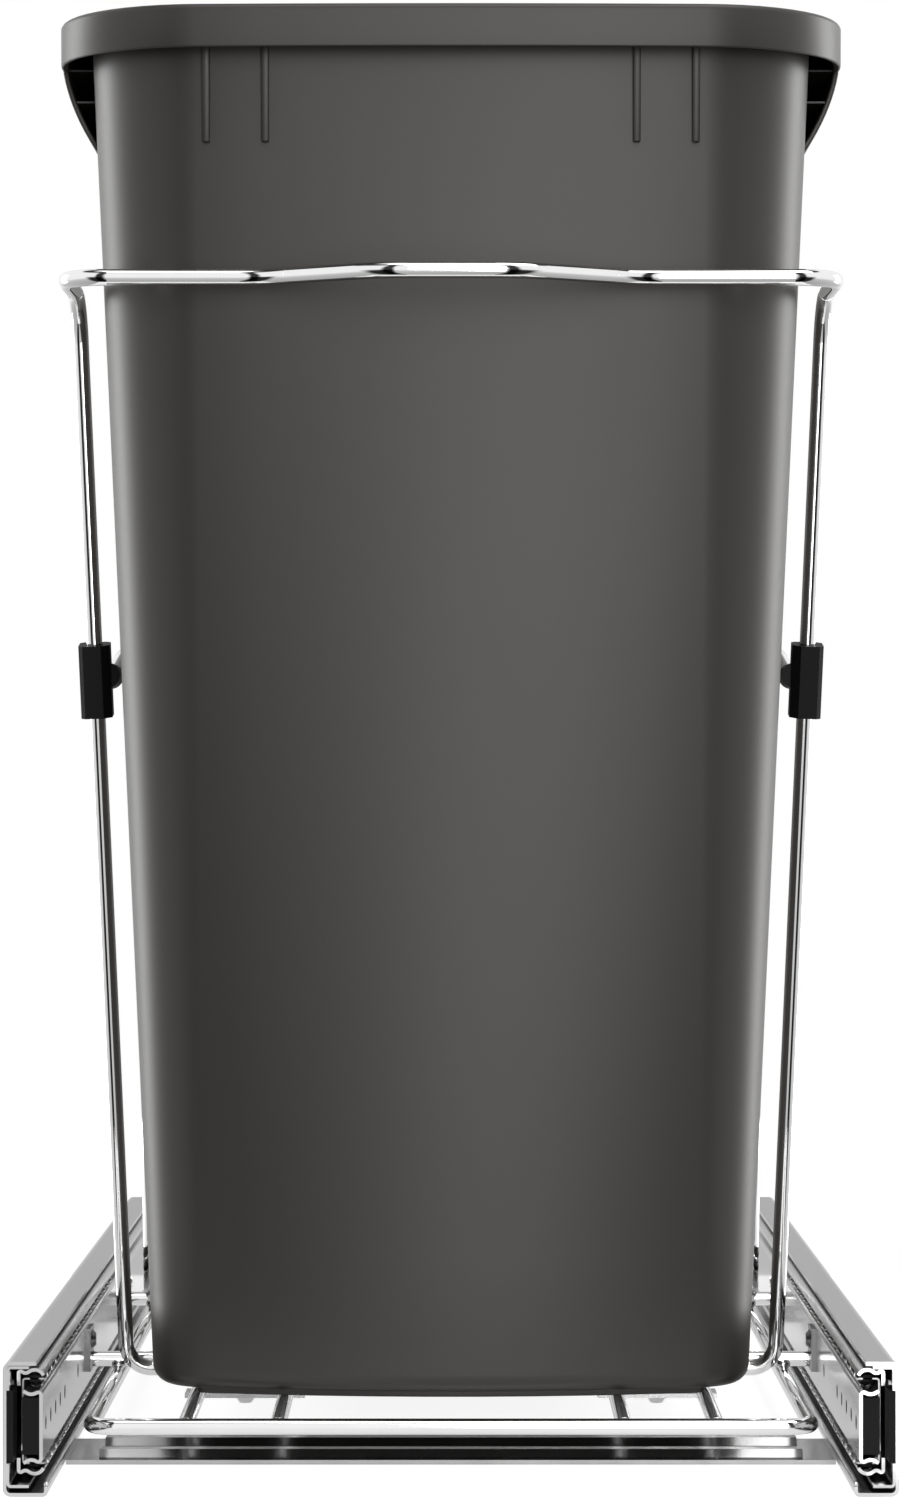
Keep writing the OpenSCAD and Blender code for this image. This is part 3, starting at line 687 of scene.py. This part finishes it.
def bead_places():
    wire_low, wire_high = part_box("floor_wires")
    loop_low, loop_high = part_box("base_loop")
    radius = (wire_high.z - wire_low.z) / 2
    level = (wire_high.z + wire_low.z) / 2
    outer_wire_x = wire_high.x - radius
    inner_xs = [side * place for side, _ in SIDES for place in (INNER_WIRE_X, outer_wire_x)]
    loop_xs = [loop_low.x + radius, loop_high.x - radius]
    ends = [Vector((x, y, level)) for x in inner_xs for y in (wire_low.y, wire_high.y)]
    crossings = []
    for node in ("front_carrier_wire", "rear_carrier_wire"):
        low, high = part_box(node)
        crossings += [Vector((x, (low.y + high.y) / 2, low.z)) for x in inner_xs + loop_xs]
    return ends, crossings


def build_weld_beads():
    bm = bmesh.new()
    ends, crossings = bead_places()
    for places, size in ((ends, END_BEAD), (crossings, CROSS_BEAD)):
        for place in places:
            add_bead(bm, place, size, BEAD_SEGMENTS)
    return bm


make_piece("weld_beads", build_weld_beads(), chrome_wire, "carriage")

# %% [markdown]
# ## Studio
# The photograph is a product shot on white. The floor and the sky are white to the camera,
# but bright plating needs something dark to mirror as well. So the room that the plating
# mirrors has wide dark strips beside the camera below eye level, narrow ones there at all
# heights, a dark ring overhead and a dimmer strip behind the bin. Tall lamps stand at the
# sides and in front, and one hangs above.

# %% Floor
FLOOR_MARGIN = 0.08
FLOOR_DROP = 0.5 * MM
FLOOR_GREY = 0.5
FLOOR_ROUGHNESS = 0.9
FLOOR_TO_CAMERA = 0.88
FLOOR_IN_METAL = 0.5
WHITE = (1, 1, 1, 1)


def build_floor_material():
    material = bpy.data.materials.new("studio_floor")
    material.use_nodes = True
    tree = material.node_tree
    shader = tree.nodes["Principled BSDF"]
    shader.inputs["Base Color"].default_value = (*grey(FLOOR_GREY), 1)
    shader.inputs["Roughness"].default_value = FLOOR_ROUGHNESS
    shader.inputs["Emission Color"].default_value = WHITE
    path = add_node(tree, "ShaderNodeLightPath")
    seen = math_node(tree, "MULTIPLY", path.outputs["Is Camera Ray"], FLOOR_TO_CAMERA)
    mirrored = math_node(tree, "MULTIPLY", path.outputs["Is Glossy Ray"], FLOOR_IN_METAL)
    tree.links.new(math_node(tree, "MAXIMUM", seen, mirrored), shader.inputs["Emission Strength"])
    return material


def build_floor():
    bm = bmesh.new()
    bmesh.ops.create_grid(bm, x_segments=1, y_segments=1, size=0.5)
    size = cad_high - cad_low + Vector((1, 1, 0)) * 2 * FLOOR_MARGIN
    bmesh.ops.scale(bm, vec=(size.x, size.y, 1), verts=bm.verts)
    return link_mesh("studio_floor", bm, build_floor_material())


floor = build_floor()
floor.location.z = -FLOOR_DROP
print("floor", [round(v, 3) for v in floor.dimensions])

# %% Lamps
LAMP_AIM = (0, -0.05, 0.24)


def area_lamp(name, place, size, power):
    data = bpy.data.lights.new(name, "AREA")
    data.shape = "RECTANGLE"
    data.size, data.size_y = size
    data.energy = power
    lamp = bpy.data.objects.new(name, data)
    lamp.location = place
    lamp.rotation_euler = (Vector(LAMP_AIM) - Vector(place)).to_track_quat("-Z", "Y").to_euler()
    bpy.context.scene.collection.objects.link(lamp)
    print("lamp", name, power, "W")


for side, label in SIDES:
    area_lamp(f"{label}_softbox", place=(side * 1.6, 0.75, 0.45), size=(0.7, 1.6), power=17)
area_lamp("front_strip", place=(0.15, -1.45, 0.5), size=(0.3, 1.4), power=6.8)
area_lamp("top_softbox", place=(0.3, -0.6, 2.1), size=(1.4, 0.9), power=14)

# %% [markdown]
# ## Sky
# The sky is worked out from the direction of each ray. How far the ray turns away from the
# camera's side runs from 0 to 1 at the back, and its height from 0 straight down to 1
# straight up. Each ramp below gives a brightness for some of these places. The camera itself
# sees plain white.

# %% Sky ramps
STRIP_DARK = 0.04
RING_DARK = 0.06
BEHIND_DIM = 0.55
WIDE_STRIPS = ((0, 1), (0.075, 1), (0.1, STRIP_DARK), (0.24, STRIP_DARK), (0.3, 1))
NARROW_STRIPS = (
    (0, 1), (0.08, 1), (0.1, STRIP_DARK), (0.15, STRIP_DARK), (0.18, 1),
    (0.92, 1), (0.97, BEHIND_DIM),
)
ABOVE_EYE_LEVEL = ((0, 0), (0.42, 0), (0.5, 1))
HEIGHTS = (
    (0, 0.4), (0.3, 0.6), (0.46, 1),
    (0.91, 1), (0.925, RING_DARK), (0.97, RING_DARK), (0.985, 1),
)
RAMP_MIDDLE = 0.5

world = bpy.data.worlds.new("studio_sky")
bpy.context.scene.world = world
world.use_nodes = True
sky = world.node_tree


def grey_ramp(value, stops):
    node = add_node(sky, "ShaderNodeValToRGB")
    ramp = node.color_ramp
    while len(ramp.elements) < len(stops):
        ramp.elements.new(RAMP_MIDDLE)
    for element, (position, shade) in zip(ramp.elements, stops):
        element.position = position
        element.color = (*grey(shade), 1)
    sky.links.new(value, node.inputs["Fac"])
    return node.outputs["Color"]


direction = add_node(sky, "ShaderNodeTexCoord")
split = add_node(sky, "ShaderNodeSeparateXYZ")
sky.links.new(direction.outputs["Generated"], split.inputs[0])
to_front = math_node(sky, "MULTIPLY", split.outputs["Y"], -1)
turn = math_node(sky, "ABSOLUTE", math_node(sky, "ARCTAN2", split.outputs["X"], to_front))
turn_share = math_node(sky, "DIVIDE", turn, math.pi)
height = math_node(sky, "MULTIPLY_ADD", split.outputs["Z"], 0.5, 0.5)
low_strips = math_node(
    sky, "MAXIMUM", grey_ramp(turn_share, WIDE_STRIPS), grey_ramp(height, ABOVE_EYE_LEVEL)
)
around = math_node(sky, "MULTIPLY", low_strips, grey_ramp(turn_share, NARROW_STRIPS))
room = math_node(sky, "MULTIPLY", around, grey_ramp(height, HEIGHTS))
print(len(sky.nodes), "nodes in the sky")

# %% Sky light
SKY_ON_SURFACES = 0.9
SKY_SEEN = 1.0

rays = add_node(sky, "ShaderNodeLightPath")
background = sky.nodes["Background"]
shown = add_node(sky, "ShaderNodeMix", data_type="RGBA")
shown.inputs["B"].default_value = WHITE
sky.links.new(rays.outputs["Is Camera Ray"], shown.inputs["Factor"])
sky.links.new(room, shown.inputs["A"])
sky.links.new(shown.outputs["Result"], background.inputs["Color"])
lit = math_node(sky, "MAXIMUM", rays.outputs["Is Camera Ray"], rays.outputs["Is Glossy Ray"])
strength = map_range(sky, lit, SKY_ON_SURFACES, SKY_SEEN)
sky.links.new(strength, background.inputs["Strength"])
print("sky strength", SKY_ON_SURFACES, "to", SKY_SEEN)

# %% [markdown]
# ## Camera
# The photograph was taken from straight in front, a little under half way up the bin. The
# shift only centres the object in the tall frame.

# %% Camera
SENSOR_WIDTH = 36
FOCAL_LENGTH = 111.5
CAMERA_PLACE = (0, -1.730, 0.2269)
PICTURE_HEIGHT = 1500
SHIFT_PIXELS = 20

camera_data = bpy.data.cameras.new("camera")
camera_data.sensor_width = SENSOR_WIDTH
camera_data.lens = FOCAL_LENGTH
camera_data.shift_y = SHIFT_PIXELS / PICTURE_HEIGHT
camera = bpy.data.objects.new("camera", camera_data)
camera.location = CAMERA_PLACE
camera.rotation_euler = (math.radians(90), 0, 0)
bpy.context.scene.collection.objects.link(camera)
bpy.context.scene.camera = camera
bpy.context.scene.view_settings.view_transform = "Standard"
print("camera at", CAMERA_PLACE)
